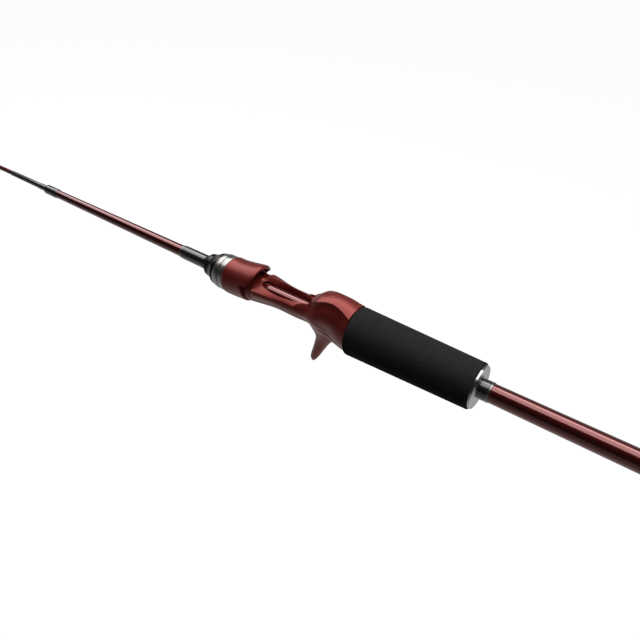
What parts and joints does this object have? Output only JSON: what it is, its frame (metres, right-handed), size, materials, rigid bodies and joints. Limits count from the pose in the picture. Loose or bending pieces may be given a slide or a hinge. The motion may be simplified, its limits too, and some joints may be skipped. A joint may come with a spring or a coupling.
{
  "type": "casting fishing rod with trigger reel seat",
  "caption": "Slim two-piece casting rod with a trigger reel seat, a sliding hood with a lock nut, a split foam grip and ring guides.",
  "frame": {"origin": "centre of the butt end face, on the rod axis", "axes": "+X along the rod to the tip, +Z to the reel and guide side, so the trigger points to -Z"},
  "size_m": [1.98, 0.0294, 0.0557],
  "materials": {
    "blank": "deep red lacquer over a dark blank",
    "seat": "satin brown-red, moulded",
    "foam": "fine closed-cell foam, matt",
    "wrap": "black thread under clear varnish",
    "alloy": "turned, fine brushed",
    "arbor": "rigid foam",
    "guide_frame": "dark grey, satin",
    "ceramic": "polished"
  },
  "bodies": {
    "handle": {"butt_blank": "blank", "butt_cap": "foam", "butt_ring": "alloy", "rear_grip": "foam", "rear_grip_cone": "alloy", "rear_trim_ring": "alloy", "rear_wrap": "wrap", "grip_end_disc": "alloy", "main_grip": "foam", "reel_seat_body": "seat", "seat_arbor_rear": "arbor", "seat_arbor_front": "arbor", "front_cone": "wrap", "front_wrap": "wrap", "front_trim_ring": "alloy", "mouth_wrap": "wrap", "mouth_trim_ring": "alloy"},
    "hood": {"moving_hood": "seat", "hood_cushion": "wrap", "hood_ring": "alloy"},
    "nut": {"lock_nut": "alloy"},
    "tip_section": {"tip_blank": "blank", "tip_base_wrap": "wrap", "tip_trim_ring": "alloy", "tip_long_wrap": "wrap", "tip_top_frame": "guide_frame", "tip_top_ring": "ceramic", "guide_1_frame": "guide_frame", "guide_1_ring": "ceramic", "guide_1_wrap": "wrap", "guide_2_frame": "guide_frame", "guide_2_ring": "ceramic", "guide_2_wrap": "wrap", "guide_3_frame": "guide_frame", "guide_3_ring": "ceramic", "guide_3_wrap": "wrap", "guide_4_frame": "guide_frame", "guide_4_ring": "ceramic", "guide_4_wrap": "wrap", "guide_5_frame": "guide_frame", "guide_5_ring": "ceramic", "guide_5_wrap": "wrap", "guide_6_frame": "guide_frame", "guide_6_ring": "ceramic", "guide_6_wrap": "wrap", "guide_7_frame": "guide_frame", "guide_7_ring": "ceramic", "guide_7_wrap": "wrap", "guide_8_frame": "guide_frame", "guide_8_ring": "ceramic", "guide_8_wrap": "wrap"}
  },
  "joints": [
    {"name": "hood_slide", "type": "slide", "parent": "handle", "child": "hood", "axis": [-1, 0, 0], "range_m": [0, 0.007]},
    {"name": "nut_spin", "type": "hinge", "parent": "hood", "child": "nut", "pos_m": [0.3615, 0, 0], "axis": [-1, 0, 0], "range_deg": [0, 1680]},
    {"name": "tip_pull", "type": "slide", "parent": "handle", "child": "tip_section", "axis": [1, 0, 0], "range_m": [0, 0.055]}
  ],
  "couplings": [
    {"joint": "nut_spin", "follows": "hood_slide", "rad_per_m": 4188}
  ]
}
